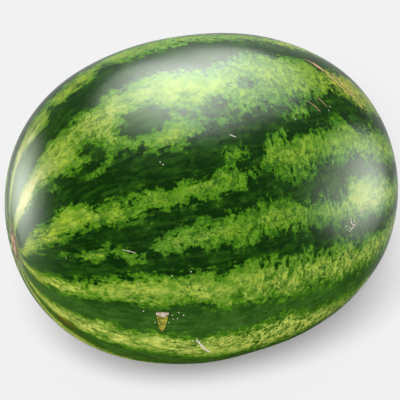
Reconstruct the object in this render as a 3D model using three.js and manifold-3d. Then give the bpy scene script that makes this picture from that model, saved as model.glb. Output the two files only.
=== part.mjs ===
// A whole, ripe, striped watermelon, lying on its side, in millimetres.
//
// The fruit grew as one piece, so it is one solid: an oblong body with blunt ends, low ribs that run
// from end to end, a shallow cup with a corky blossom scar at the -X end, and at the +X end a deeper
// cup with the short dry stalk it was cut from the vine by. The underside has the small flat it rests on.
//
// Frame: +X runs along the fruit from the blossom end to the stalk end, +Z is up, and the origin is
// on the surface that the fruit rests on, under the middle of its bounding box.
import * as THREE from "three";
import { mergeVertices } from "three/addons/utils/BufferGeometryUtils.js";
import Module from "manifold-3d";

// The body
const HALF_LENGTH = 145;
const HALF_WIDTH = 117.5;
const HALF_HEIGHT = 118.5;
const BLUNTNESS = 0.13; // how much fuller the shoulders are than an ellipsoid's
const LEAN = 2.4; // the blossom shoulder swells upwards and the stalk shoulder downwards by this much
const LIE = THREE.MathUtils.degToRad(2.8); // how far the stalk end is lifted as the fruit lies
const FLAT_DEPTH = 1.6; // how much of the belly is pressed flat where it rests

// Low ribs that run from end to end
const RIB_COUNT = 11;
const RIB_HEIGHT = 0.3;
const RIB_START = THREE.MathUtils.degToRad(11);

// The two ends
const BLOSSOM_CUP = { radius: 17, depth: 1.8 };
const BLOSSOM_SCAR = { radius: 9.5, height: 0.9 };
const STALK_CUP = { radius: 25, depth: 6.5 };

// The cut stalk
const STALK_RADIUS = 4.6;
const STALK_FLARE = 8.2; // its radius where it grows out of the fruit
const STALK_LENGTH = 19; // from the bottom of the cup to the cut end
const STALK_ROOT = 9; // how far it is sunk into the fruit
const STALK_BEND = 3.5; // how far the cut end leans to one side
const STALK_RIDGES = 5;
const STALK_RIDGE_HEIGHT = 0.55;

// How finely the surfaces are divided
const ROUND_STEPS = 77; // a multiple of the rib count, so that every rib has the same facets
const LENGTH_STEPS = 44;
const STALK_ROUND_STEPS = 20;
const STALK_LENGTH_STEPS = 9;

const GREEN_RIND = new THREE.MeshStandardMaterial({ color: 0x2f6a22, roughness: 0.34, metalness: 0 });

// A soft bump that is 1 on the axis and fades to 0 a little past the given radius.
function mound(distance, radius) {
  return Math.exp(-((distance / radius) ** 4));
}

// The rind's point at angle `round` about the fruit's axis, with 0 towards -Y and a quarter turn up,
// and `along` from 0 at the blossom end to PI at the stalk end.
function rindPoint(round, along) {
  const fullness = Math.sin(along) * (1 + BLUNTNESS * Math.cos(along) ** 2);
  const rib = RIB_HEIGHT * Math.cos(RIB_COUNT * (round - RIB_START)) * Math.sin(along) ** 2;
  const y = -(HALF_WIDTH * fullness + rib) * Math.cos(round);
  const up = (HALF_HEIGHT * fullness + rib) * Math.sin(round);
  const fromAxis = Math.hypot(y, up);
  let x = -HALF_LENGTH * Math.cos(along);
  if (x < 0) {
    x += BLOSSOM_CUP.depth * mound(fromAxis, BLOSSOM_CUP.radius);
    x -= BLOSSOM_SCAR.height * mound(fromAxis, BLOSSOM_SCAR.radius);
  } else {
    x -= STALK_CUP.depth * mound(fromAxis, STALK_CUP.radius);
  }
  const z = up + LEAN * Math.sin(2 * along);
  return new THREE.Vector3(x, y, z);
}

// A unit sphere whose poles lie on the X axis, with every vertex moved to the rind.
function rindGeometry() {
  const geometry = new THREE.SphereGeometry(1, ROUND_STEPS, LENGTH_STEPS);
  geometry.rotateZ(Math.PI / 2); // the sphere's top pole goes to -X
  const position = geometry.getAttribute("position");
  const direction = new THREE.Vector3();
  for (let i = 0; i < position.count; i++) {
    direction.fromBufferAttribute(position, i);
    const along = Math.acos(THREE.MathUtils.clamp(-direction.x, -1, 1));
    const round = Math.atan2(direction.z, -direction.y);
    position.setXYZ(i, ...rindPoint(round, along).toArray());
  }
  return geometry;
}

// The stalk: a ridged rod that flares into the fruit and bends a little, cut square at its end.
function stalkGeometry() {
  const whole = STALK_ROOT + STALK_LENGTH;
  const geometry = new THREE.CylinderGeometry(1, 1, whole, STALK_ROUND_STEPS, STALK_LENGTH_STEPS);
  geometry.rotateZ(-Math.PI / 2); // along +X
  geometry.translate(whole / 2, 0, 0);
  const cupBottom = HALF_LENGTH - STALK_CUP.depth;
  const position = geometry.getAttribute("position");
  for (let i = 0; i < position.count; i++) {
    const run = position.getX(i);
    const out = Math.max(0, run - STALK_ROOT) / STALK_LENGTH; // 0 at the cup, 1 at the cut
    const round = Math.atan2(position.getZ(i), position.getY(i));
    const onAxis = Math.hypot(position.getY(i), position.getZ(i)); // 1 on the side, 0 at a cap's middle
    const flare = (STALK_FLARE - STALK_RADIUS) * Math.exp(-5 * out);
    const ridge = STALK_RIDGE_HEIGHT * Math.cos(STALK_RIDGES * round);
    const radius = onAxis * (STALK_RADIUS + flare + ridge);
    position.setXYZ(
      i,
      cupBottom - STALK_ROOT + run,
      radius * Math.cos(round) - STALK_BEND * out ** 2,
      radius * Math.sin(round),
    );
  }
  return geometry;
}

const wasm = await Module();
wasm.setup();

// A closed geometry, as a solid that can be joined and cut.
function solidOf(geometry) {
  const bare = geometry.clone();
  bare.deleteAttribute("normal");
  bare.deleteAttribute("uv");
  const merged = mergeVertices(bare, 1e-3);
  return new wasm.Manifold(
    new wasm.Mesh({
      numProp: 3,
      vertProperties: merged.getAttribute("position").array,
      triVerts: new Uint32Array(merged.index.array),
    }),
  );
}

// A solid, as a geometry that can be drawn.
function geometryOf(solid) {
  const mesh = solid.getMesh();
  const geometry = new THREE.BufferGeometry();
  geometry.setAttribute("position", new THREE.BufferAttribute(mesh.vertProperties, 3));
  geometry.setIndex(new THREE.BufferAttribute(mesh.triVerts, 1));
  geometry.computeVertexNormals();
  return geometry;
}

// The whole fruit as it lies: laid at its angle, set on the ground and pressed flat there.
function fruitGeometry() {
  const laid = geometryOf(solidOf(rindGeometry()).add(solidOf(stalkGeometry())));
  laid.rotateY(-LIE);
  laid.computeBoundingBox();
  const { min, max } = laid.boundingBox;
  laid.translate(-(min.x + max.x) / 2, -(min.y + max.y) / 2, -(min.z + FLAT_DEPTH));
  const groundSize = 4 * HALF_LENGTH;
  const ground = new THREE.BoxGeometry(groundSize, groundSize, groundSize);
  ground.translate(0, 0, -groundSize / 2);
  return geometryOf(solidOf(laid).subtract(solidOf(ground)));
}

const watermelon = new THREE.Mesh(fruitGeometry(), GREEN_RIND);
watermelon.name = "watermelon";

const fruit = new THREE.Group();
fruit.add(watermelon);

export default fruit;
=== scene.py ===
# %% [markdown]
# # A whole striped watermelon
#
# This lesson dresses one watermelon in Blender. The fruit lies on its side on a pale floor: an
# oblong body, light marbled bands between deep green stripes, a corky scar where the flower sat,
# a few healed scars, scratches and a small wound, and a short dry stalk at the far end.
#
# The solid model of the fruit is the frame. It is loaded first and never moved: every piece made
# here is worked out from its box, in metres, with +Z up and the fruit's length along X.

# %% Load the frame
import math

import bpy
import numpy as np
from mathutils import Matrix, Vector


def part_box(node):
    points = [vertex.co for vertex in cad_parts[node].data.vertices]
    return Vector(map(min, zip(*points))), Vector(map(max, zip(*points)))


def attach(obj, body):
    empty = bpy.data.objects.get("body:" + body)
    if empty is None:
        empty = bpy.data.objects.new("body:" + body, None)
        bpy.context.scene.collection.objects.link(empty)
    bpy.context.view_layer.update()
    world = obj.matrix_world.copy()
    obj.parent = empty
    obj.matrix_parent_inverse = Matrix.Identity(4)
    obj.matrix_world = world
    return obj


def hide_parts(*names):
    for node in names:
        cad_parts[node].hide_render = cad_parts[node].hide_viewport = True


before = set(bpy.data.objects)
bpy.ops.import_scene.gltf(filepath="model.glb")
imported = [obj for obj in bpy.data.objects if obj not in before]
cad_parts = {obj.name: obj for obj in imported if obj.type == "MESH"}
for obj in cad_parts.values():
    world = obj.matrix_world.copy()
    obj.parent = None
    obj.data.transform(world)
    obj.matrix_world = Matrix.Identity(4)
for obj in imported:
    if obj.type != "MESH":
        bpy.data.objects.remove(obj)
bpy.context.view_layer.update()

MM = 0.001
box_low, box_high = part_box("watermelon")
box_middle = (box_low + box_high) / 2
print("The fruit is", [round(side / MM) for side in box_high - box_low], "mm long, wide and high")

# %% [markdown]
# ## The camera
#
# The photograph looks down on the fruit from the side of the blossom end, through a long lens. The
# camera's place was found by fitting the outline of the body to the outline in the photograph. A
# camera can be aimed with a constraint, but a rotation worked out from two points is plainer, and
# it needs no lens shift: the camera aims a little beside the fruit's middle, so that the middle
# lands on the pixel where the photograph has it.

# %% Set up the camera
IMAGE_PIXELS = 400
FOCAL_PIXELS = 1071.8  # the focal length, in pixels of the photograph
BODY_MIDDLE_PIXEL = (205.3, 196.2)
CAMERA_AZIMUTH = -24.24  # degrees, as is the elevation
CAMERA_ELEVATION = 27.18
CAMERA_DISTANCE = 787.9 * MM
STALK_SHARE = 5.6 * MM  # the stalk shifts the middle of the box this far from the body's middle


def direction_of(azimuth, elevation):
    """The direction at two angles in degrees: azimuth 0 is towards -Y and 90 towards +X."""
    turned, raised = math.radians(azimuth), math.radians(elevation)
    return Vector((
        math.sin(turned) * math.cos(raised),
        -math.cos(turned) * math.cos(raised),
        math.sin(raised),
    ))


body_middle = box_middle - Vector((STALK_SHARE, 0, 0))
towards_camera = direction_of(CAMERA_AZIMUTH, CAMERA_ELEVATION)
image_right = direction_of(CAMERA_AZIMUTH + 90, 0)
image_up = towards_camera.cross(image_right)
pixel_size = CAMERA_DISTANCE / FOCAL_PIXELS
aim = (
    body_middle
    - image_right * (BODY_MIDDLE_PIXEL[0] - IMAGE_PIXELS / 2) * pixel_size
    + image_up * (BODY_MIDDLE_PIXEL[1] - IMAGE_PIXELS / 2) * pixel_size
)

camera_data = bpy.data.cameras.new("photo_camera")
camera_data.sensor_width = 36
camera_data.lens = FOCAL_PIXELS / IMAGE_PIXELS * camera_data.sensor_width
camera = bpy.data.objects.new("photo_camera", camera_data)
camera.location = body_middle + towards_camera * CAMERA_DISTANCE
camera.rotation_euler = (aim - camera.location).to_track_quat("-Z", "Y").to_euler()
bpy.context.scene.collection.objects.link(camera)
bpy.context.scene.camera = camera
print("Lens", round(camera_data.lens, 1), "mm, one pixel is", round(pixel_size / MM, 3), "mm at the fruit")

# %% [markdown]
# ## The body's shape
#
# A melon is close to an ellipsoid, but its shoulders are fuller. The shape is one formula of two
# angles: `round_angle` goes about the fruit's axis and `along` goes from the blossom end to the
# stalk end. A formula is better than sculpting here, because the same function also says where
# every scratch and scar lies on the rind.

# %% The formula of the rind
HALF_LENGTH = 145 * MM
HALF_WIDTH = 117.5 * MM
HALF_HEIGHT = 118.5 * MM
BLUNTNESS = 0.13
LEAN = 2.4 * MM
LIE = math.radians(2.8)
RIB_COUNT = 11
RIB_HEIGHT = 0.3 * MM
RIB_START = math.radians(11)
BLOSSOM_CUP = dict(radius=17 * MM, depth=1.8 * MM)
BLOSSOM_SCAR = dict(radius=9.5 * MM, height=0.9 * MM)
STALK_CUP = dict(radius=25 * MM, depth=6.5 * MM)


def mound(distance, radius):
    """A soft bump: 1 on the axis, fading to 0 a little past the radius, as exp(-(distance/radius)^4)."""
    return np.exp(-((distance / radius) ** 4))


def lie_down(x, y, z):
    """Turns points about Y by the angle at which the fruit lies. Returns an array with x, y, z last."""
    laid_x = x * math.cos(LIE) - z * math.sin(LIE)
    laid_z = x * math.sin(LIE) + z * math.cos(LIE)
    return np.stack([laid_x, y, laid_z], axis=-1)


def grown_shape(round_angle, along, relief=0.0):
    """The rind before it is set on the ground.

    In words: the half thickness follows sin(along), made fuller by the bluntness times cos(along)
    squared; low ribs and the given relief are added to it; the length follows -cos(along); each
    end is pressed in by a mound, and the blossom end has a smaller mound on top.
    """
    fullness = np.sin(along) * (1 + BLUNTNESS * np.cos(along) ** 2)
    rib = RIB_HEIGHT * np.cos(RIB_COUNT * (round_angle - RIB_START)) * np.sin(along) ** 2
    y = -(HALF_WIDTH * fullness + rib + relief) * np.cos(round_angle)
    up = (HALF_HEIGHT * fullness + rib + relief) * np.sin(round_angle)
    from_axis = np.hypot(y, up)
    blossom_end = BLOSSOM_CUP["depth"] * mound(from_axis, BLOSSOM_CUP["radius"])
    blossom_end -= BLOSSOM_SCAR["height"] * mound(from_axis, BLOSSOM_SCAR["radius"])
    stalk_end = -STALK_CUP["depth"] * mound(from_axis, STALK_CUP["radius"])
    x = -HALF_LENGTH * np.cos(along)
    x = x + np.where(x < 0, blossom_end, stalk_end)
    return lie_down(x, y, up + LEAN * np.sin(2 * along))


# %% Set the formula into the frame
angles = np.radians(np.arange(-180, 180, 1.0))
alongs = np.radians(np.arange(0, 180.5, 0.5))
sample = grown_shape(angles[None, :], alongs[:, None])
setting = np.array([
    box_low.x - sample[..., 0].min(),
    0,
    box_high.z - sample[..., 2].max(),
])


def rind_point(round_angle, along, relief=0.0):
    """A point of the rind where the fruit lies. What would be under the floor is pressed flat."""
    point = grown_shape(round_angle, along, relief) + setting
    point[..., 2] = np.maximum(point[..., 2], 0)
    return point


print("The formula is moved by", (setting / MM).round(1), "mm to lie in the frame")

# %% [markdown]
# ## From the photograph to the rind
#
# The scars and scratches of this one fruit were listed in the photograph, as pixels. The
# camera says which place on the rind each pixel shows. That could be found by casting a ray at the
# mesh, but the formula is at hand, so a place is guessed and then mended by the pixels it misses.

# %% The place that a pixel shows
NET_ALONG = (6.0, 150)  # the first guesses lie between these degrees
NET_ROUND = (-60.0, 100)
NET_STEP = 3
MENDING_ROUNDS = 8
SLOPE_STEP = 0.01  # degrees


def pixel_showing(along, round_angle):
    """Where the camera sees places of the rind, given in degrees: column from the left, row from the top."""
    points = rind_point(np.radians(round_angle), np.radians(along))
    camera_axes = np.array(camera.rotation_euler.to_matrix())
    across, up, back = np.moveaxis((points - np.array(camera.location)) @ camera_axes, -1, 0)
    middle = IMAGE_PIXELS / 2
    return np.stack([middle - FOCAL_PIXELS * across / back, middle + FOCAL_PIXELS * up / back], axis=-1)


def place_of(pixels):
    """The places on the rind that some pixels show, each as (along, round angle) in degrees.

    In words: the first guess is the nearest of a net of points that face the camera. Then, a few
    times over, the pixels still missed are divided by how far one degree moves the point.
    """
    pixels = np.array(pixels, float)
    guesses = np.meshgrid(np.arange(*NET_ALONG, NET_STEP), np.arange(*NET_ROUND, NET_STEP))
    net = np.stack(guesses, axis=-1)
    points = rind_point(np.radians(net[..., 1]), np.radians(net[..., 0]))
    outwards = (points - np.array(body_middle)) / np.square([HALF_LENGTH, HALF_WIDTH, HALF_HEIGHT])
    net = net[(outwards * (np.array(camera.location) - points)).sum(axis=-1) > 0]
    gaps = pixels[:, None] - pixel_showing(net[:, 0], net[:, 1])
    place = net[np.linalg.norm(gaps, axis=-1).argmin(axis=1)]
    for _ in range(MENDING_ROUNDS):
        along, angle = place.T
        here = pixel_showing(along, angle)
        slope_along = pixel_showing(along + SLOPE_STEP, angle) - here
        slope_round = pixel_showing(along, angle + SLOPE_STEP) - here
        slopes = np.stack([slope_along, slope_round], axis=-1) / SLOPE_STEP
        place = place + np.linalg.solve(slopes, (pixels - here)[..., None])[..., 0]
    return place

# %% [markdown]
# ## Meshes from whole arrays
#
# Blender can loft or revolve a curve, but a grid of points computed by numpy is quicker and gives
# full control. One function turns rings of points into a closed skin: the rings become quads, and
# a single point closes each end like the pole of a globe.


# %% Closed skins from rings of points
def skin_faces(count, around, offset):
    """The faces of one skin: quads between its rings, and a fan round one point at each end.

    Ring i, point j is vertex i*around + j. The start and end points come last.
    """
    here = np.arange(around)
    after = (here + 1) % around
    first = (np.arange(count - 1) * around)[:, None]
    quads = np.stack([first + here, first + after, first + around + after, first + around + here], axis=-1)
    start_index = count * around
    last = (count - 1) * around
    start_fan = np.stack([after, here, np.full(around, start_index)], axis=-1)
    end_fan = np.stack([last + here, last + after, np.full(around, start_index + 1)], axis=-1)
    groups = (quads.reshape(-1, 4), start_fan, end_fan)
    return [face for group in groups for face in (group + offset).tolist()]


def closed_skins(name, *skins):
    """One piece from one or more closed skins, each given as its rings, its start and its end point."""
    points = np.empty((0, 3))
    faces = []
    for rings, start, end in skins:
        faces += skin_faces(*rings.shape[:2], len(points))
        points = np.concatenate([points, rings.reshape(-1, 3), [start], [end]])
    mesh = bpy.data.meshes.new(name)
    mesh.from_pydata(points.tolist(), [], faces)
    mesh.shade_smooth()
    piece = bpy.data.objects.new(name, mesh)
    bpy.context.scene.collection.objects.link(piece)
    return piece


def store(piece, name, values):
    """Keeps one number, or one vector, for every vertex, under a name that materials can read."""
    is_vector = values.ndim == 2
    layer = piece.data.attributes.new(name, "FLOAT_VECTOR" if is_vector else "FLOAT", "POINT")
    flat_values = np.ascontiguousarray(values, np.float32).ravel()
    layer.data.foreach_set("vector" if is_vector else "value", flat_values)


# %% [markdown]
# ## Where the stripes run
#
# The rind of this kind has light bands between dark stripes. Most run from end to end, but no two
# are alike: some are broad, some break off. Painting an image would be one way. Here each light
# band that the photograph shows is a short list of places along the fruit, with the angles of its
# upper and lower edge, and the hidden side repeats one band with small swings. The mesh keeps only
# a smooth field: how far inside or outside a light band a point is. The material later tears that
# soft edge into the jagged one that a melon has.

# %% The light bands that face the camera
# Each entry is a place along the fruit and the upper and lower edge there, all in degrees and all
# read off the photograph.
CREST_BAND = [
    (0, 104, 92), (24, 108, 95), (31, 109, 92), (36, 109, 90), (41, 107, 89), (44.5, 104, 101),
    (47, 105, 93), (58, 106, 92), (65, 107, 99), (69, 109, 92), (77, 108, 93), (96, 104, 92),
    (120, 96, 86), (150, 96, 84),
]
BROAD_BAND = [
    (0, 76, 54), (22, 74, 55), (27, 73, 59), (33, 74, 59), (38, 78, 54), (45, 75, 54), (50, 78, 51),
    (56, 75, 52), (60, 79, 51), (66, 76, 47), (73, 79, 47), (80, 75, 52), (86, 73, 53), (92, 75, 53),
    (100, 77, 55), (110, 77, 57), (118, 75, 57), (121, 69, 59), (124, 72, 58), (130, 73, 53),
    (136, 71, 51), (150, 66, 54),
]
CURLED_BAND = [
    (0, 12, 2), (10, 20, 5), (16, 36, 15), (21, 38, 19), (27, 37, 22), (33, 41, 25), (39, 40, 27),
    (43, 36, 28), (50, 35, 27), (61, 35, 29), (72, 35, 29), (84, 37, 30), (87, 35, 32), (89.5, 34, 34),
    (92.5, 41, 34), (97, 44, 30), (103, 43, 29), (107, 43, 33), (114, 43, 32), (119, 48, 33),
    (124, 43, 30), (129, 40, 29), (133, 44, 28), (140, 41, 24), (180, 38, 24),
]
BROKEN_BAND = [
    (34, 15, 16), (38, 18, 14), (46, 18, 14), (51, 16, 12), (54, 15, 13), (57, 14, 16), (60, 19, 14),
    (66, 21, 14), (77, 23, 14), (83, 22, 13), (90, 24, 14), (97, 21, 13), (104, 22, 13), (110, 19, 11),
    (117, 25, 11), (124, 23, 9), (131, 22, 7), (140, 17, 4), (180, 18, 4),
]
FRONT_BAND = [
    (0, -4, -16), (18, -3, -16), (25, 0, -12), (32, 1, -9), (39, 3, -7), (48, 6, -5), (57, 6, -7),
    (64, 6, -5), (70, 7, -8), (75, 3, -9), (79, 7, -8), (90, 5, -11), (100, 4, -10), (110, 4, -12),
    (120, 1, -13), (130, -1, -15), (180, -3, -17),
]
LOWER_BAND = [
    (0, -33, -44), (18, -31, -45), (30, -24, -40), (40, -20, -37), (50, -20, -37), (61, -20, -36),
    (69, -23, -41), (80, -22, -42), (92, -18, -42), (103, -21, -42), (120, -26, -38), (180, -26, -42),
]
SEEN_BANDS = [CREST_BAND, BROAD_BAND, CURLED_BAND, BROKEN_BAND, FRONT_BAND, LOWER_BAND]

# %% The light bands that the camera does not see
HIDDEN_BANDS_START = -59
HIDDEN_BAND_SPACING = -28.8
HIDDEN_BAND_COUNT = 7
HIDDEN_BAND_HALF_WIDTH = 7.5
BAND_SWING = 1.6  # how far a hidden band swings to either side, in degrees
BAND_SWELL = 1.8  # and how much its half width changes

# %% Patches that break the bands
# Each is (along, round angle, half length, half height) in degrees.
DARK_PATCHES = [
    (65.3, 60, 6.5, 6.2), (50, 55, 3, 5), (47.5, 60.5, 2.6, 4), (84, 56, 4, 4), (75.8, 58.5, 1.8, 2.2),
    (95.8, 64.3, 1.5, 1.5),
]
LIGHT_PATCHES = [
    (105.8, 51, 3.2, 2.8), (32.5, 52.5, 2.4, 2), (49.5, 48.8, 2.4, 1.6), (84.5, 40.4, 2.4, 1.8),
]
PATCH_STEEPNESS = 1.4  # a small patch needs a steep edge, or the torn noise breaks it up
OUTSIDE_ALL_BANDS = -99.0  # millimetres, a start that any band beats
DEPTH_LIMIT = 14  # millimetres, past which a band or a stripe is no deeper


# %% How far inside a light band a point is
def band_depth(round_angle, along):
    """Millimetres inside the nearest light band, negative in a dark stripe.

    In words: for each band the edges are read off along the fruit; the depth is the half width of
    the band less the angle from its middle, times the millimetres that one degree spans at the
    fruit's waist. The deepest band wins, light patches join it and dark patches cut it.
    """
    mm_per_degree = HALF_WIDTH / MM * math.pi / 180
    depth = np.full(np.broadcast(round_angle, along).shape, OUTSIDE_ALL_BANDS)

    def join(middle, half_width):
        from_middle = (round_angle - middle + 180) % 360 - 180
        np.maximum(depth, (half_width - np.abs(from_middle)) * mm_per_degree, out=depth)

    for band in SEEN_BANDS:
        places, upper, lower = np.array(band, float).T
        high = np.interp(along, places, upper)
        low = np.interp(along, places, lower)
        join((high + low) / 2, (high - low) / 2)
    for number in range(HIDDEN_BAND_COUNT):
        swing = BAND_SWING * np.sin(np.radians(along * 2.2 + 70 * number))
        swell = BAND_SWELL * np.sin(np.radians(along * 3.7 + 130 * number))
        middle = HIDDEN_BANDS_START + HIDDEN_BAND_SPACING * number + swing
        join(middle, HIDDEN_BAND_HALF_WIDTH + swell)

    def patch(place, angle, half_length, half_height):
        reach = np.hypot((along - place) / half_length, (round_angle - angle) / half_height)
        return (1 - reach) * min(half_length, half_height) * mm_per_degree * PATCH_STEEPNESS

    for light_patch in LIGHT_PATCHES:
        np.maximum(depth, patch(*light_patch), out=depth)
    for dark_patch in DARK_PATCHES:
        np.minimum(depth, -patch(*dark_patch), out=depth)
    return np.clip(depth, -DEPTH_LIMIT, DEPTH_LIMIT)


# %% Where the rind turns yellow or brown, and where it is painted pale, partly as a painted highlight
# Each is (along, round angle, half length, half height) in degrees, and a strength.
YELLOW_PLACES = [
    (95, -90, 52, 26, 1.0), (133, 63.5, 12, 12.5, 1.0), (29, 98, 7, 6, 0.5), (12, -20, 9, 60, 0.2),
    (30, -55, 40, 10, 0.15), (118, 89, 5, 5, 0.7), (56, 97, 10, 5, 0.3),
]
# The pale places lie where the soft boxes are mirrored: partly the rind's own cream streaks, partly a
# painted highlight.
PALE_AND_HIGHLIGHT_PLACES = [
    (21, 65, 12, 10, 0.9), (20, 88, 14, 20, 0.65), (26.5, 102, 3, 5, 0.9), (33, 94, 3, 4, 0.9),
    (62, 68, 22, 9, 0.22), (122, 18, 12, 10, 0.35),
]
BROWN_PLACES = [
    (29, -42, 3.5, 2.2, 0.7), (31, -38, 1.6, 1.6, 0.4), (107, 95, 2.6, 2, 0.3),
]


def soft_places(places, round_angle, along):
    """How far a tone has spread from a few soft round places: the strongest of them counts."""
    result = np.zeros(np.broadcast(round_angle, along).shape)
    for place, angle, half_length, half_height, strength in places:
        from_angle = (round_angle - angle + 180) % 360 - 180
        reach = np.hypot((along - place) / half_length, from_angle / half_height)
        np.maximum(result, strength * np.exp(-reach ** 2), out=result)
    return result


# %% [markdown]
# ## The rind
#
# The rind is one skin of about 190,000 triangles. All but the finest relief is in the mesh: low
# ribs, slow dents, wrinkles on the corky scar, and a hollow under the small wound on the front.
# Besides its shape, each vertex keeps a few things for the material: the band depth, how far the
# yellow, pale and brown tones have spread, where the pale tone is partly paler rind and partly a
# painted highlight, how far it is from either end, and its place on the unrolled skin, which gives
# streaks that converge on both ends.

# %% Slow dents and the wound
DENT_DEPTH = 0.35 * MM
WOUND_PIXELS = [(157.5, 312.5), (169.5, 314.5), (160.5, 331.3)]  # upper left, upper right and tip
wound_left, wound_right, wound_tip = place_of(WOUND_PIXELS)
WOUND_ALONG = (wound_left[0] + wound_right[0] + 2 * wound_tip[0]) / 4
WOUND_TOP = wound_left[1]
WOUND_TIP = wound_tip[1]
WOUND_HALF_WIDTH = (wound_right[0] - wound_left[0]) / 2
WOUND_HOLLOW = 2.2 * MM
HOLLOW_SHARE = 0.9  # of the wound's width
HOLLOW_SLOPE = 0.5  # degrees from its edge to its full depth


def dents_of(round_angle, along):
    """Slow rises and hollows: a few crossed sine waves that die away at both ends."""
    dents = np.sin(3 * round_angle + 4 * along) * np.sin(5 * along + 0.7)
    dents = dents + 0.7 * np.sin(7 * round_angle - 6 * along + 1.3) * np.sin(4 * along)
    dents = dents + 0.5 * np.sin(11 * round_angle + 13 * along + 0.4)
    return DENT_DEPTH * dents * np.sin(along) ** 2


def wound_half_width(down):
    """Half the wound's width in degrees, from its top at 0 to its tip at 1: a wedge with a round tip."""
    down = np.clip(down, 0, 1)
    return WOUND_HALF_WIDTH * (1 - 0.62 * down ** 1.3) * np.sqrt(1 - down ** 6)


def wound_hollow(round_angle, along):
    """A hollow under the wound: full depth well inside the wedge, and none outside it."""
    down = (WOUND_TOP - np.degrees(round_angle)) / (WOUND_TOP - WOUND_TIP)
    across = np.abs(np.degrees(along) - WOUND_ALONG)
    inside = np.clip(HOLLOW_SHARE * wound_half_width(down) - across, 0, HOLLOW_SLOPE) / HOLLOW_SLOPE
    inside = inside * ((down > 0.06) & (down < 0.96))
    return WOUND_HOLLOW * inside


# %% Build the rind
RIND_ROUND_STEPS = 460
RIND_ALONG_STEPS = 208
SCAR_EDGE = 11.2 * MM
SCAR_NARROWNESS = 0.66  # the corky scar is this much narrower from side to side than it is high
CORK_WRINKLES = 7
CORK_WRINKLE_TURN = 900  # how far the wrinkles turn outwards, in radians per metre
CORK_WRINKLE_HEIGHT = 2 * MM  # on the scar it is cut down by the sine of a small angle


def build_rind():
    """The rind as a closed grid: each ring goes round the fruit, each next ring is further along it."""
    round_angle = (np.arange(RIND_ROUND_STEPS) / RIND_ROUND_STEPS * 2 * np.pi - np.pi)[None, :]
    along = (np.arange(1, RIND_ALONG_STEPS) / RIND_ALONG_STEPS * np.pi)[:, None]
    relief = dents_of(round_angle, along) - wound_hollow(round_angle, along)
    rings = rind_point(round_angle, along, relief)
    from_axis = HALF_WIDTH * np.sin(along) * (1 + BLUNTNESS * np.cos(along) ** 2)
    wrinkles = np.cos(CORK_WRINKLES * round_angle + CORK_WRINKLE_TURN * from_axis)
    wrinkles = CORK_WRINKLE_HEIGHT * wrinkles * mound(from_axis, SCAR_EDGE)
    rings[..., 0] += wrinkles * np.sin(along) * (along < 1)
    poles = [rind_point(np.array(0.0), np.array(end)) for end in (0.0, np.pi)]
    piece = closed_skins("rind", (rings, *poles))

    all_round = np.append(np.broadcast_to(round_angle, rings.shape[:2]).ravel(), [0, 0])
    all_along = np.append(np.broadcast_to(along, rings.shape[:2]).ravel(), [0, np.pi])
    in_degrees = np.degrees(all_round), np.degrees(all_along)
    store(piece, "band_depth", band_depth(*in_degrees))
    for name, places in (("yellowing", YELLOW_PLACES), ("paling_and_highlight", PALE_AND_HIGHLIGHT_PLACES), ("browning", BROWN_PLACES)):
        store(piece, name, soft_places(places, *in_degrees))
    outwards = np.append(np.broadcast_to(from_axis, rings.shape[:2]).ravel(), [0, 0])
    oval = outwards * np.hypot(np.cos(all_round) / SCAR_NARROWNESS, np.sin(all_round))
    store(piece, "from_blossom", np.where(all_along < np.pi / 2, oval, HALF_WIDTH))
    store(piece, "from_stalk", np.where(all_along > np.pi / 2, outwards, HALF_WIDTH))
    ring_run = np.linalg.norm(np.diff(rings[:, RIND_ROUND_STEPS // 2], axis=0), axis=1)
    run = np.interp(all_along, along[:, 0], np.append(0, np.cumsum(ring_run)))
    unrolled = np.stack([run, HALF_WIDTH * np.cos(all_round), HALF_WIDTH * np.sin(all_round)], axis=-1)
    store(piece, "unrolled", unrolled)
    return piece


rind = build_rind()
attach(rind, "root")
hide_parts("watermelon")
print("Rind:", 2 * len(rind.data.polygons), "triangles at most")

# %% [markdown]
# ## Writing shader maths as Python
#
# A node tree can be wired by hand, but long sums are hard to read that way. The small class `Wire`
# stands for the value that leaves a node, and arithmetic on wires adds Math nodes. `Nodes` adds
# every other kind of node to a tree through one method, and `Finish` does so for one material.


# %% Wires and finishes
class Wire:
    """The value that comes out of a node. Sums and products of wires add Math nodes."""

    def __init__(self, nodes, socket):
        self.nodes = nodes
        self.socket = socket

    def __add__(self, other):
        return self.nodes.maths("ADD", self, other)

    def __radd__(self, other):
        return self.nodes.maths("ADD", other, self)

    def __sub__(self, other):
        return self.nodes.maths("SUBTRACT", self, other)

    def __rsub__(self, other):
        return self.nodes.maths("SUBTRACT", other, self)

    def __mul__(self, other):
        return self.nodes.maths("MULTIPLY", self, other)

    def __rmul__(self, other):
        return self.nodes.maths("MULTIPLY", other, self)

    def __neg__(self):
        return self.nodes.maths("MULTIPLY", self, -1)


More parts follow.
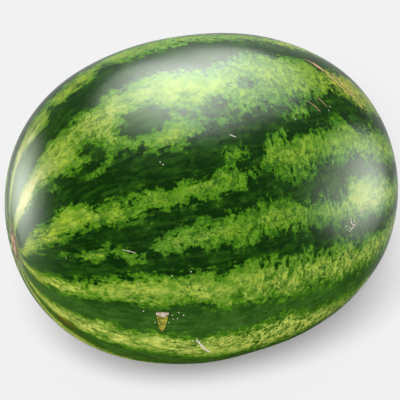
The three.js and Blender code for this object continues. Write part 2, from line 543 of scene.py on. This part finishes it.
class Nodes:
    """The node tree of a material or of the world."""

    def __init__(self, tree):
        self.tree = tree

    def node(self, kind, settings, values, output=0):
        """Adds a node: first its settings, then the value or the wire of each socket."""
        made = self.tree.nodes.new(kind)
        for setting, value in settings.items():
            setattr(made, setting, value)
        for socket, value in values.items():
            self.feed(made.inputs[socket], value)
        return Wire(self, made.outputs[output])

    def feed(self, socket, value):
        """Links a wire to a socket, or sets the socket's own value."""
        if isinstance(value, Wire):
            self.tree.links.new(value.socket, socket)
        else:
            socket.default_value = value

    def maths(self, operation, first, second):
        return self.node("ShaderNodeMath", {"operation": operation}, {0: first, 1: second})

    def greater(self, first, second):
        return self.maths("MAXIMUM", first, second)

    def ramp(self, value, start, stop, low, high, kind="LINEAR"):
        """Low up to the start, high from the stop on, and a slope between them."""
        ranges = {"Value": value, "From Min": start, "From Max": stop, "To Min": low, "To Max": high}
        return self.node("ShaderNodeMapRange", {"interpolation_type": kind}, ranges)

    def ease(self, value, start, stop):
        """0 up to the start, 1 from the stop on, and a smooth step between them."""
        return self.ramp(value, start, stop, 0.0, 1.0, "SMOOTHSTEP")

    def fade(self, value, start, stop):
        """1 up to the start, and 0 from the stop on."""
        return 1 - self.ease(value, start, stop)

    def blend(self, factor, below, above):
        """Mixes two colours, each a wire or four numbers."""
        mix_colours = {"data_type": "RGBA", "blend_type": "MIX"}
        return self.node("ShaderNodeMix", mix_colours, {"Factor": factor, 6: below, 7: above}, output=2)

    def layered(self, colour, *layers):
        """Lays further colours over the first, each given as its factor and its colour."""
        for factor, above in layers:
            colour = self.blend(factor, colour, above)
        return colour

    def places(self):
        return self.node("ShaderNodeTexCoord", {}, {}, output="Object")

    def kept(self, name, output="Fac"):
        """What the mesh keeps for each vertex under a name: a number, or a vector with output Vector."""
        return self.node("ShaderNodeAttribute", {"attribute_name": name}, {}, output)

    def stretched(self, vector, factors):
        return self.node("ShaderNodeVectorMath", {"operation": "MULTIPLY"}, {0: vector, 1: factors})

    def part_of(self, vector, axis):
        return self.node("ShaderNodeSeparateXYZ", {}, {0: vector}, output=axis)


class Finish(Nodes):
    """One material on a Principled shader. Constants are set on its own sockets."""

    def __init__(self, name, **constants):
        self.material = bpy.data.materials.new(name)
        self.material.use_nodes = True
        super().__init__(self.material.node_tree)
        self.shader = self.tree.nodes["Principled BSDF"]
        for socket, value in constants.items():
            self.shader.inputs[socket.replace("_", " ")].default_value = value

    def noise(self, vector, size, detail=4.0, roughness=0.6, distortion=0.0):
        """Fractal noise about 0, with features of the given size in metres. It mostly stays within 0.25."""
        values = {"Vector": vector, "Scale": 1 / size, "Detail": detail, "Roughness": roughness,
                  "Distortion": distortion}
        return self.node("ShaderNodeTexNoise", {}, values) - 0.5

    def paint(self, colour):
        self.feed(self.shader.inputs["Base Color"], colour)

    def bump(self, height, distance):
        """A normal tilted by a height, where 1 stands for the distance in metres."""
        values = {"Height": height, "Distance": distance, "Strength": 1.0}
        self.feed(self.shader.inputs["Normal"], self.node("ShaderNodeBump", {}, values, "Normal"))

    def put_on(self, *pieces):
        for piece in pieces:
            piece.data.materials.clear()
            piece.data.materials.append(self.material)


def shade(red, green, blue):
    """A colour as it looks on screen, 0 to 255, turned into the linear numbers that shaders use."""
    screen = np.array([red, green, blue]) / 255
    linear = np.where(screen <= 0.04045, screen / 12.92, ((screen + 0.055) / 1.055) ** 2.4)
    return (*linear.tolist(), 1.0)


# %% [markdown]
# ## The finish of the rind
#
# The rind is laid up from three tones. The deepest green fills the stripes, a bright green edges
# the light bands and shows through them in flecks, and a yellow-green fills the bands. All three
# come from one torn edge: the smooth band depth plus fractal noise. Noise on the unrolled skin
# makes lobes and fingers. Near the blossom end the streaks run lengthwise, and past the middle they
# run round the fruit, as they do on the real rind. Near the blossom end the stripes are a paler
# green. Low on the fruit the stripes and the bands are mixed paler, which is painted light: a
# painted reflection of the floor on the stripes and a painted fill light on the bands. Where the
# soft boxes are mirrored, the rind is painted paler and creamier, partly its own cream streaks and
# partly a painted highlight. The hidden spot that it lay on in the field is made cream.

# %% Paint the rind
DEEP_GREEN = shade(8, 46, 0)
DEEP_GREEN_PALE = shade(34, 78, 2)
# Painted reflection: the two low greens make the stripes paler low on the fruit, standing for the floor
# mirrored in the rind.
LOW_REFLECTED_DEEP_GREEN = shade(44, 82, 18)
END_GREEN = shade(74, 112, 58)
LOW_REFLECTED_GREEN = shade(64, 108, 34)
FLECK_GREEN = shade(30, 84, 2)
BRIGHT_GREEN = shade(74, 132, 2)
GRASS_GREEN = shade(98, 142, 34)
YELLOW_GREEN = shade(168, 194, 38)
PALE_GREEN = shade(180, 198, 74)
# Painted fill light: this pale green makes the bands paler low on the fruit, where the lamps leave them
# darker.
LOW_FILL_LIT_PALE_GREEN = shade(232, 236, 116)
RIPE_YELLOW = shade(178, 180, 48)
# The cream is partly the rind's own and partly a painted highlight, where the pale places reach.
CREAM_AND_HIGHLIGHT = shade(220, 216, 142)
GROUND_CREAM = shade(216, 204, 118)
# The sage green is partly the stripes' own paler green and partly a painted highlight, where the pale places
# reach.
SAGE_AND_HIGHLIGHT_GREEN = shade(98, 138, 44)
BRUISE_BROWN = shade(138, 92, 34)
CORK_PINK = shade(220, 182, 148)
CORK_TAN = shade(172, 122, 80)
CORK_DARK = shade(80, 46, 20)
CORK_HALO = shade(142, 140, 60)
STREAKS_TURN_FROM = 130 * MM
STREAKS_TURN_TO = 230 * MM
LOBE_REACH = 44  # how many millimetres the edge of a band moves for each 1 of the noise
FINGER_REACH = 32
STREAK_REACH = 18
TURNED_STREAK_REACH = 28  # what is added where the streaks run round the fruit
GROUND_SPOT_REACH = 30 * MM  # and the same for the edge of the ground spot
CORK_REACH = 14 * MM  # and for the edges of the corky ends

skin = Finish("rind_finish", Roughness=0.3, Specular_IOR_Level=0.4)
unrolled = skin.kept("unrolled", "Vector")
depth = skin.kept("band_depth")
yellow = skin.kept("yellowing")
# pale: partly paler rind, partly a painted highlight where the soft boxes are mirrored
pale = skin.kept("paling_and_highlight")
run = skin.part_of(unrolled, "X")
height = skin.part_of(unrolled, "Z")

lobes = skin.noise(unrolled, 15 * MM, detail=8, roughness=0.74)
fingers = skin.noise(unrolled, 4 * MM, detail=4, roughness=0.75)
lengthwise = skin.noise(skin.stretched(unrolled, (0.3, 1, 1)), 3.6 * MM, detail=4)
hoopwise = skin.noise(skin.stretched(unrolled, (1, 0.35, 0.35)), 2.6 * MM, detail=4)
turn = skin.ease(run, STREAKS_TURN_FROM, STREAKS_TURN_TO)
streaks = lengthwise + turn * (hoopwise - lengthwise)
raggedness = 0.75 + skin.ease(depth, -4, 2) * 0.25
streak_reach = STREAK_REACH + turn * TURNED_STREAK_REACH
torn = depth + (lobes * LOBE_REACH + fingers * FINGER_REACH + streaks * streak_reach) * raggedness

bright = skin.ease(torn, -2.5, 1.5)
light = skin.ease(torn, 0.7, 10.7)
patchy = skin.ease(skin.noise(unrolled, 9 * MM, detail=5, roughness=0.7), -0.1, 0.12)
clusters = skin.ease(skin.noise(unrolled, 32 * MM, detail=3) + turn * 0.14, -0.06, 0.1)
flecks = skin.noise(unrolled, 4.5 * MM, detail=5, roughness=0.75) + streaks * (0.4 + turn * 0.4)
dark_flecks = skin.ease(flecks, 0.05, 0.1) * clusters
core = skin.ease(torn, 3, 13)
veins = skin.noise(unrolled, 7 * MM, detail=5, roughness=0.7) + streaks * 0.3
veins = skin.fade(skin.greater(veins, -veins), 0.008, 0.035) * (0.4 + clusters * 0.6 - core * 0.2)

mottled = skin.ease(lengthwise + lobes + fingers * 0.5, -0.14, 0.24)
# Painted reflection and fill light: this mottle and the low mask below lay paler tones on the lower half of
# the fruit.
low_reflection_mottled = skin.ease(lengthwise + lobes + fingers * 0.6, -0.2, 0.24)
low = skin.fade(height, -50 * MM, 35 * MM)
under = skin.fade(height + lobes * GROUND_SPOT_REACH, -110 * MM, -84 * MM)
bright_flecks = skin.ease(flecks, -0.03, 0.07) * light
dark_tone = skin.layered(
    DEEP_GREEN,
    (mottled, DEEP_GREEN_PALE),
    # painted reflection of the floor: the stripes are paler low on the fruit
    (skin.fade(height, -50 * MM, 15 * MM), skin.blend(low_reflection_mottled, LOW_REFLECTED_DEEP_GREEN, LOW_REFLECTED_GREEN)),
    (yellow * skin.fade(height, -60 * MM, -20 * MM) * 0.45, RIPE_YELLOW),
    (skin.fade(run, 10 * MM, 80 * MM) * 0.6, END_GREEN),
    # painted highlight, partly paler rind: the stripes turn sage where the pale places reach
    (pale * 0.9, SAGE_AND_HIGHLIGHT_GREEN),
)
# The bright edges also turn sage under the painted highlight.
bright_tone = skin.layered(BRIGHT_GREEN, (yellow * 0.6, RIPE_YELLOW), (pale, SAGE_AND_HIGHLIGHT_GREEN))
light_tone = skin.layered(
    YELLOW_GREEN,
    (patchy, PALE_GREEN),
    # painted fill light: the bands are paler low on the fruit
    (low * 0.8, LOW_FILL_LIT_PALE_GREEN),
    (skin.ease(run, 20 * MM, 190 * MM) * (0.55 - low * 0.3), GRASS_GREEN),
    (skin.ease(streaks + fingers * 0.5, -0.08, 0.12) * 0.6, BRIGHT_GREEN),
    (yellow, RIPE_YELLOW),
    # painted highlight, partly cream rind: the bands turn cream where the pale places reach
    (pale, CREAM_AND_HIGHLIGHT),
)
colour = skin.layered(
    dark_tone,
    (bright, bright_tone),
    (light, light_tone),
    # fewer flecks show under the painted highlight
    (bright_flecks * (0.9 - core * 0.3 - pale * 0.5), BRIGHT_GREEN),
    (skin.greater(dark_flecks * 0.85, veins) * bright * (1 - pale), FLECK_GREEN),
    (skin.kept("browning"), BRUISE_BROWN),
    (skin.ease(yellow + lobes * 0.5, 0.3, 0.9) * under * 0.85, GROUND_CREAM),
)

# %% The corky ends
from_blossom = skin.kept("from_blossom")
from_stalk = skin.kept("from_stalk")
ragged = lobes * CORK_REACH
halo = skin.fade(from_blossom + ragged, 12 * MM, 24 * MM)
corky = skin.fade(from_blossom + ragged * 0.5, SCAR_EDGE - 1 * MM, SCAR_EDGE + 0.6 * MM)
rim = corky * skin.ease(from_blossom + ragged * 0.5, SCAR_EDGE - 5 * MM, SCAR_EDGE - 1.5 * MM)
cork_tone = skin.layered(
    CORK_PINK,
    (skin.ease(fingers + lobes, -0.12, 0.12), CORK_TAN),
    (rim * 0.9, CORK_DARK),
    (skin.fade(from_blossom, 1.6 * MM, 3 * MM), CORK_DARK),
)
stalk_halo = skin.fade(from_stalk + ragged, 11 * MM, 26 * MM)
stalk_cork = skin.fade(from_stalk + ragged * 0.4, 10 * MM, 12.5 * MM)
colour = skin.layered(
    colour,
    (halo * 0.55, CORK_HALO),
    (corky, cork_tone),
    (stalk_halo * 0.5, CORK_HALO),
    (stalk_cork, skin.blend(skin.ease(fingers, -0.1, 0.1), CORK_DARK, CORK_TAN)),
)
dull = skin.greater(corky, stalk_cork)

skin.paint(colour)
skin.feed(skin.shader.inputs["Roughness"], 0.23 + light * 0.05 + (fingers + 0.2) * 0.1 + dull * 0.4)
skin.bump(lobes * 0.5 + streaks * 0.4 + fingers * 0.3, 0.12 * MM)
skin.put_on(rind)

# %% [markdown]
# ## Marks on the rind
#
# The front shows where the fruit was hurt as it grew. Two long tan scars run over the far
# shoulder, there are a few short pale scratches and specks, and a patch of small corky curls. A
# healed scar stands a little proud, so each is a low round profile carried along a short path on
# the rind. One wedge-shaped wound has lost its green skin, with a pale flake left at its top.


# %% Raised lines of healed skin
LINE_ROUND_STEPS = 10
LINE_RUN_STEPS = 36


def skin_place(along_degrees, round_degrees):
    """The point of the rind at two angles in degrees, dents included."""
    round_angle, along = np.radians(round_degrees), np.radians(along_degrees)
    return rind_point(round_angle, along, dents_of(round_angle, along))


def skin_normal(along, angle, step=0.2):
    """The outward direction of the rind at two angles in degrees: the cross product of its slopes."""
    slope_along = skin_place(along + step, angle) - skin_place(along - step, angle)
    slope_round = skin_place(along, angle + step) - skin_place(along, angle - step)
    normal = np.cross(slope_along, slope_round)
    return normal / np.linalg.norm(normal, axis=-1, keepdims=True)


def raised_line(stops, width, height):
    """A line of healed skin along a path of (along, round) stops in degrees.

    In words: the path is read off evenly between its stops; each ring is an ellipse half sunk in
    the rind, set across the path; its size follows the root of sin(pi*u), so both ends taper.
    """
    stops = np.array(stops, float)
    whole = np.linspace(0, len(stops) - 1, LINE_RUN_STEPS)
    along_path = np.interp(whole, np.arange(len(stops)), stops[:, 0])
    round_path = np.interp(whole, np.arange(len(stops)), stops[:, 1])
    middle = skin_place(along_path, round_path)
    out = skin_normal(along_path, round_path)
    ahead = np.gradient(middle, axis=0)
    side = np.cross(ahead, out)
    side /= np.linalg.norm(side, axis=-1, keepdims=True)
    taper = np.sqrt(np.sin(np.pi * np.linspace(0.02, 0.98, LINE_RUN_STEPS)))[:, None, None]
    turned = (np.arange(LINE_ROUND_STEPS) / LINE_ROUND_STEPS * 2 * np.pi)[None, :, None]
    across = side[:, None] * np.cos(turned) * width / 2
    proud = out[:, None] * np.sin(turned) * height
    rings = middle[:, None] + (across + proud) * taper
    return rings, middle[0], middle[-1]


# %% The scars and scratches
# Each path is a list of pixels in the photograph, with a width and a height in
# millimetres. The four short ones beside the two long scars have their colour, so they join them.
LONG_SCARS = [
    ([(303.8, 58.7), (309.7, 61.2), (314.7, 64.5), (320.5, 69.1), (326.3, 72.4), (329.7, 75.8), (333, 79.5),
      (336.5, 82.8), (340.5, 86.6), (344.7, 90.3), (349.7, 93.7), (354.7, 97.4), (359.7, 104.5),
      (364.7, 110.3)], 1.3, 0.35),
    ([(331.3, 72.4), (334.7, 76.2), (339.7, 80.8), (343.8, 84.9), (348, 88.7), (351.3, 92), (355.5, 95.3)],
     1.2, 0.35),
    ([(312.5, 62.2), (318, 66.2), (324, 70.4)], 1.2, 0.3),
    ([(347, 91), (351, 94.4), (355, 98)], 1.1, 0.3),
    ([(306.8, 100.3), (310.5, 103.3), (315.5, 107), (320.5, 112.4)], 0.55, 0.22),
    ([(315.9, 96.6), (318.8, 99.1), (322.6, 102.4), (325.1, 105.3), (326.3, 107.8)], 0.5, 0.22),
]
SCRATCHES = [
    ([(197, 338.5), (197.7, 341), (200, 344), (203, 347.5), (205.5, 350), (208, 351.3), (211, 352.8)],
     1.5, 0.5),
    ([(195.6, 341), (198, 341.5), (200.7, 341.2)], 1.3, 0.5),
    ([(122, 249.6), (129, 251), (136, 253)], 0.4, 0.2),
    ([(229, 134.5), (236, 137.5)], 0.6, 0.25),
]
CORKY_CURLS = [
    ([(351.4, 216.8), (351, 219.5), (351.4, 222.3), (352.6, 224.5), (354.4, 225.5), (355.9, 224.3),
      (356.3, 221.5)], 0.7, 0.3),
    ([(354.1, 218.6), (354.4, 221), (354.6, 223.3)], 0.7, 0.3),
    ([(354, 226.6), (352.9, 227.6), (351, 229.4), (350, 230.4)], 0.9, 0.35),
    ([(349.4, 226.8), (349.4, 228.5)], 0.9, 0.35),
    ([(359.2, 208.6), (361, 208.3)], 0.7, 0.3),
    ([(360.8, 211), (361.8, 212.8), (361.3, 215.2)], 0.7, 0.3),
    ([(357.2, 211.6), (357.4, 213.6)], 0.5, 0.25),
    ([(367.4, 206.8), (368.4, 209)], 0.5, 0.25),
]
SPECKS = [
    (143.3, 311.3), (183.3, 315), (177.3, 318.5), (173, 319), (178.5, 312.5), (192.4, 341.3),
    (155.3, 322.5), (168.7, 322.5), (172, 315.5), (349.4, 231.4), (347.2, 229.9), (345.7, 226.4),
    (362.6, 210.2), (358.6, 221.5), (329.7, 107), (328.4, 110.8), (295.3, 119.3), (66, 258), (160, 162),
    (163, 164.5), (172, 276), (191, 272),
]
SPECK_LENGTH = 0.45  # degrees
SPECK_LEAN = 0.1  # degrees
SPECK_WIDTH = 0.8
SPECK_HEIGHT = 0.3


def healed_lines(name, lines):
    """One piece from many raised lines, each a path in degrees, a width and a height in millimetres."""
    return closed_skins(name, *[raised_line(path, w * MM, h * MM) for path, w, h in lines])


long_scars = healed_lines("long_scars", [(place_of(path), w, h) for path, w, h in LONG_SCARS])
small_marks = [(place_of(path), w, h) for path, w, h in SCRATCHES + CORKY_CURLS]
for along, angle in place_of(SPECKS):
    speck = [(along, angle - SPECK_LENGTH / 2), (along + SPECK_LEAN, angle + SPECK_LENGTH / 2)]
    small_marks.append((speck, SPECK_WIDTH, SPECK_HEIGHT))
scratches = healed_lines("scratches", small_marks)
print("Scars and scratches:", len(long_scars.data.polygons) + len(scratches.data.polygons), "faces")


# %% The wound and its flake
WOUND_DEPTH = 0.7 * MM
WOUND_FLOOR_LIFT = 0.14 * MM  # keeps the bare place above the hollow rind all over
WOUND_STEP = 0.18 * MM
WOUND_RIM = 0.25 * MM
WOUND_ROOT = 2.6 * MM
WOUND_ACROSS_STEPS = 24
WOUND_DOWN_STEPS = 40
FLAKE_LENGTH = 0.17  # of the wound's length
FLAKE_LIFT = 1.3 * MM
FLAKE_SEAT = 0.25 * MM  # how far it stands off where it is still fast
FLAKE_THICKNESS = 0.5 * MM
FLAKE_ACROSS_STEPS = 30
FLAKE_DOWN_STEPS = 14


def patch_skin(down, across, upper, lower):
    """A thin closed body on the wound: over its upper face one way, and back under it.

    `down` and `across` place each point in the wedge, `upper` and `lower` are heights over the rind.
    """
    along = WOUND_ALONG + across * wound_half_width(down)
    angle = WOUND_TOP + down * (WOUND_TIP - WOUND_TOP)
    base = skin_place(along, angle)
    out = skin_normal(along, angle)
    top = base + out * upper[..., None]
    bottom = base + out * lower[..., None]
    rings = np.concatenate([top, bottom[:, ::-1]], axis=1)
    return rings, rings[0].mean(axis=0), rings[-1].mean(axis=0)


def build_wound():
    """The bare place: a shallow trough with small steps across it, filling the hollow in the rind."""
    down = np.linspace(0.0, 0.995, WOUND_DOWN_STEPS)[:, None]
    across = np.linspace(-1, 1, WOUND_ACROSS_STEPS)[None, :]
    down, across = np.broadcast_arrays(down, across)
    steps = WOUND_STEP * np.sin(26 * down + 1.5 * across) * (1 - across ** 2)
    rim = WOUND_RIM * np.exp(-((1 - np.abs(across)) / 0.12) ** 2)
    narrowing = wound_half_width(down) / WOUND_HALF_WIDTH
    trough = WOUND_DEPTH * narrowing * (1 - across ** 4) * np.sin(np.pi * (0.15 + 0.8 * down)) ** 0.5
    upper = WOUND_FLOOR_LIFT + rim - trough + steps * narrowing
    return closed_skins("wound", patch_skin(down, across, upper, np.full(down.shape, -WOUND_ROOT)))


def build_flake():
    """The flake of skin left at the top: it follows the wound's edge and its free edge curls up."""
    reach = np.linspace(-0.06, 1, FLAKE_DOWN_STEPS)[:, None]
    across = np.linspace(-1.05, 1.08, FLAKE_ACROSS_STEPS)[None, :]
    length = FLAKE_LENGTH * (0.35 + 0.65 * np.cos(0.5 * np.pi * across / 1.1) ** 0.7)
    down = reach * length
    across = np.broadcast_to(across, down.shape)
    lift = FLAKE_SEAT + FLAKE_LIFT * np.clip(reach, 0, 1) ** 2 * (0.6 + 0.4 * np.sin(5 * across + 1))
    thickness = FLAKE_THICKNESS * (1.15 - np.clip(reach, 0, 1))
    return closed_skins("wound_flake", patch_skin(down, across, lift, lift - thickness))


wound = build_wound()
flake = build_flake()
marks = (long_scars, scratches, wound, flake)
for mark in marks:
    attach(mark, "root")
    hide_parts("watermelon")


# %% Finishes of the marks
def grained_finish(name, roughness, grain_size, detail, reach, dark, pale, relief, stretch=(1, 1, 1)):
    """A finish with a fine grain, which goes from dark to pale and lifts the surface by the relief."""
    finish = Finish(name, Roughness=roughness)
    grain = finish.noise(finish.stretched(finish.places(), stretch), grain_size, detail=detail)
    finish.paint(finish.blend(finish.ease(grain, *reach), dark, pale))
    finish.bump(grain, relief)
    return finish


grained_finish(
    "long_scar_finish", roughness=0.55, grain_size=3 * MM, detail=4, reach=(-0.12, 0.12),
    dark=shade(158, 138, 78), pale=shade(206, 150, 116), relief=0.3 * MM).put_on(long_scars)
grained_finish(
    "scratch_finish", roughness=0.6, grain_size=2 * MM, detail=3, reach=(-0.16, 0.08),
    dark=shade(176, 162, 138), pale=shade(236, 228, 214), relief=0.2 * MM).put_on(scratches)
grained_finish(
    "wound_finish", roughness=0.5, grain_size=2.5 * MM, detail=4, reach=(-0.1, 0.1), stretch=(0.5, 1, 1.6),
    dark=shade(98, 98, 8), pale=shade(178, 172, 46), relief=0.4 * MM).put_on(wound)
grained_finish(
    "flake_finish", roughness=0.6, grain_size=1.5 * MM, detail=4, reach=(-0.1, 0.15),
    dark=shade(168, 150, 122), pale=shade(218, 208, 192), relief=0.3 * MM).put_on(flake)

# %% [markdown]
# ## The stalk
#
# The fruit was cut from the vine with a short piece of stalk, which dried hard: five ridges run
# down it, and it flares where it grows out of the cup. It is a profile carried along a bent line,
# worked out on a grid like the rind. Its cut end is a little hollow.

# %% Build the stalk
STALK_RADIUS = 4.6 * MM
STALK_FLARE = 8.2 * MM
STALK_LENGTH = 19 * MM
STALK_ROOT = 9 * MM
STALK_BEND = 3.5 * MM
STALK_RIDGES = 5
STALK_RIDGE_HEIGHT = 0.55 * MM
STALK_ROUND_STEPS = 120
STALK_RUN_STEPS = 70
STALK_END_RINGS = 12
FIBRE_HEIGHT = 0.18 * MM
CUT_HOLLOW = 0.7 * MM
CUT_RING_HEIGHT = 0.12 * MM


def stalk_radius(out, turned):
    """The radius: a plain rod, a flare that dies away outwards, five ridges and fine fibres."""
    flare = (STALK_FLARE - STALK_RADIUS) * np.exp(-5 * out)
    ridges = STALK_RIDGE_HEIGHT * np.cos(STALK_RIDGES * turned)
    fibres = FIBRE_HEIGHT * np.sin(23 * turned + 4 * out) * np.cos(9 * turned - 7 * out)
    return STALK_RADIUS + flare + ridges + fibres


def build_stalk():
    """The side is rings along the bent line; the cut end is rings that shrink to its middle."""
    turned = (np.arange(STALK_ROUND_STEPS) / STALK_ROUND_STEPS * 2 * np.pi)[None, :]
    cup_bottom = HALF_LENGTH - STALK_CUP["depth"]
    run_out = np.linspace(0, STALK_ROOT + STALK_LENGTH, STALK_RUN_STEPS)[:, None]
    out = np.maximum(0, run_out - STALK_ROOT) / STALK_LENGTH
    shrink = np.linspace(1, 0.06, STALK_END_RINGS)[1:, None]
    run_out = np.concatenate([run_out, np.full_like(shrink, run_out[-1, 0])])
    out = np.concatenate([out, np.ones_like(shrink)])
    size = np.concatenate([np.ones((STALK_RUN_STEPS, 1)), shrink])
    hollow = CUT_HOLLOW * (1 - size ** 2) + CUT_RING_HEIGHT * np.cos(22 * size) * (1 - size)
    radius = stalk_radius(out, turned) * size
    x = np.broadcast_to(cup_bottom - STALK_ROOT + run_out - hollow, radius.shape)
    y = radius * np.cos(turned) - STALK_BEND * out ** 2
    rings = lie_down(x, y, radius * np.sin(turned)) + setting
    return closed_skins("stalk", (rings, rings[0].mean(axis=0), rings[-1].mean(axis=0)))


stalk = build_stalk()
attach(stalk, "root")
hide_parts("watermelon")
print("Stalk:", len(stalk.data.polygons), "faces")

# %% Finish of the stalk
wood = Finish("dry_stalk_finish", Roughness=0.8)
along_stalk = wood.stretched(wood.places(), (0.2, 1, 1))
fibre = wood.noise(along_stalk, 1.2 * MM, detail=5)
blotch = wood.noise(wood.places(), 6 * MM, detail=3)
bark = wood.blend(wood.ease(fibre, -0.15, 0.2), shade(88, 74, 44), shade(158, 142, 98))
bark = wood.blend(wood.ease(blotch, 0.0, 0.2), bark, shade(112, 112, 62))
wood.paint(bark)
wood.bump(fibre, 0.3 * MM)
wood.put_on(stalk)

# %% [markdown]
# ## The floor and the lights
#
# The photograph has a plain white floor, and the rind mirrors what look like soft boxes: a broad
# one overhead and a little behind, and one towards each end of the fruit. Their reflections fade
# out softly, so each box here is a nest of oval lamps that is brightest in its middle. Most of the
# shadow lies behind the fruit, so the floor's own lamps stand on the camera's side. The rind
# mirrors little else, so the world lights all that is dull but is darker for the gloss, most of all
# in front.

# %% Floor, world and lamps
FLOOR_SIZE = 8.0
FLOOR_WHITE = 0.888
FLOOR_GLOW = 0.08  # the share of the floor's white that no shadow takes away
ROOM_LIGHT = 0.85
HIGH_FLOOR_LAMP = 7.6  # how bright the floor's lamps are, in the measure of the room's light
LOW_FLOOR_LAMP = 3.6
MIRRORED_FRONT = 0.02  # how bright the room in front of the fruit is where the rind mirrors it
MIRRORED_BACK = 0.62  # and the room behind it
BEHIND_FROM = 0.45  # where the room starts to count as behind, as a cosine
DARK_BELOW = -0.7  # under the fruit the mirrored room fades out between these two heights
LIT_ABOVE = -0.45
BOX_LAYERS = 4
LAYER_STEP = 0.7  # each layer of a soft box is this much smaller than the one before
LAMP_DISTANCE = 1.2

floor_mesh = bpy.data.meshes.new("floor")
corners = [(x * FLOOR_SIZE / 2, y * FLOOR_SIZE / 2, 0) for x, y in ((-1, -1), (1, -1), (1, 1), (-1, 1))]
floor_mesh.from_pydata(corners, [], [(0, 1, 2, 3)])
floor = bpy.data.objects.new("floor", floor_mesh)
bpy.context.scene.collection.objects.link(floor)
floor.visible_glossy = False
lit_white = FLOOR_WHITE * (1 - FLOOR_GLOW) / (ROOM_LIGHT + HIGH_FLOOR_LAMP + LOW_FLOOR_LAMP)
paper = Finish(
    "paper_finish", Roughness=0.9, Specular_IOR_Level=0.0, Base_Color=(lit_white, lit_white, lit_white, 1),
    Emission_Color=(FLOOR_WHITE, FLOOR_WHITE, FLOOR_WHITE, 1), Emission_Strength=FLOOR_GLOW)
paper.put_on(floor)

world = bpy.data.worlds.new("studio")
world.use_nodes = True
bpy.context.scene.world = world
room = Nodes(world.node_tree)
outlook = room.node("ShaderNodeTexCoord", {}, {}, output="Generated")
behind = room.node(
    "ShaderNodeVectorMath", {"operation": "DOT_PRODUCT"}, {0: outlook, 1: -towards_camera}, output="Value")
mirrored_room = room.ramp(behind, BEHIND_FROM, 1.0, MIRRORED_FRONT, MIRRORED_BACK)
not_below = room.ramp(room.part_of(outlook, "Z"), DARK_BELOW, LIT_ABOVE, 0.0, 1.0)
in_gloss = room.node("ShaderNodeLightPath", {}, {}, output="Is Glossy Ray")
strengths = {"Factor": in_gloss, "A": ROOM_LIGHT, "B": mirrored_room * not_below}
background = world.node_tree.nodes["Background"]
background.inputs["Color"].default_value = (1, 1, 1, 1)
room.feed(background.inputs["Strength"], room.node("ShaderNodeMix", {}, strengths, output="Result"))

# %% What each lamp lights
fruit_only = bpy.data.collections.new("lit_by_the_soft_boxes")
for piece in (rind, stalk, *marks):
    fruit_only.objects.link(piece)
floor_only = bpy.data.collections.new("lit_by_the_floor_lamps")
floor_only.objects.link(floor)


def lamp_for(lit, kind, name, azimuth, elevation):
    """A lamp for some pieces only, in a direction from the fruit's middle and turned to face it."""
    direction = direction_of(azimuth, elevation)
    lamp = bpy.data.objects.new(name, bpy.data.lights.new(name, kind))
    lamp.light_linking.receiver_collection = lit
    lamp.light_linking.blocker_collection = fruit_only
    lamp.location = body_middle + direction * LAMP_DISTANCE
    lamp.rotation_euler = (-direction).to_track_quat("-Z", "Y").to_euler()
    bpy.context.scene.collection.objects.link(lamp)
    return lamp


def floor_lamp(name, azimuth, elevation, spread, glow):
    """A sun for the floor alone, which lays the fruit's shadow on it. A wide spread softens its edge."""
    lamp = lamp_for(floor_only, "SUN", name, azimuth, elevation)
    lamp.data.energy = glow * math.pi / math.sin(math.radians(elevation))
    lamp.data.angle = math.radians(spread)


def oval_lamp(name, azimuth, elevation, width, height, glow, mirrored):
    """An oval area lamp for the fruit, which gives it either gloss or light on what is dull.

    The glow is its radiance: the power is that times pi times its area.
    """
    lamp = lamp_for(fruit_only, "AREA", name, azimuth, elevation)
    lamp.data.shape = "ELLIPSE"
    lamp.data.size = width
    lamp.data.size_y = height
    lamp.data.energy = glow * math.pi * math.pi / 4 * width * height
    lamp.visible_diffuse = not mirrored
    lamp.visible_glossy = mirrored


def soft_box(name, azimuth, elevation, width, height, glow):
    """What the gloss mirrors: a nest of oval lamps that reach the given glow together in its middle."""
    for layer in range(BOX_LAYERS):
        share = LAYER_STEP ** layer
        size = (width * share, height * share)
        oval_lamp(f"{name}_{layer}", azimuth, elevation, *size, glow / BOX_LAYERS, mirrored=True)


floor_lamp("high_floor_lamp", azimuth=-32, elevation=48, spread=28, glow=HIGH_FLOOR_LAMP)
floor_lamp("low_floor_lamp", azimuth=-33, elevation=26, spread=14, glow=LOW_FLOOR_LAMP)
soft_box("overhead_box", azimuth=154, elevation=71, width=1.7, height=2.0, glow=12.5)
soft_box("left_box", azimuth=-133, elevation=-6, width=1.1, height=0.9, glow=6)
soft_box("right_box", azimuth=69, elevation=0, width=1.3, height=1.2, glow=7.6)
oval_lamp("overhead_light", azimuth=154, elevation=76, width=1.6, height=2.0, glow=1.2, mirrored=False)
oval_lamp("front_light", azimuth=-24, elevation=-8, width=1.2, height=0.9, glow=1.6, mirrored=False)
bpy.context.scene.view_settings.view_transform = "Standard"
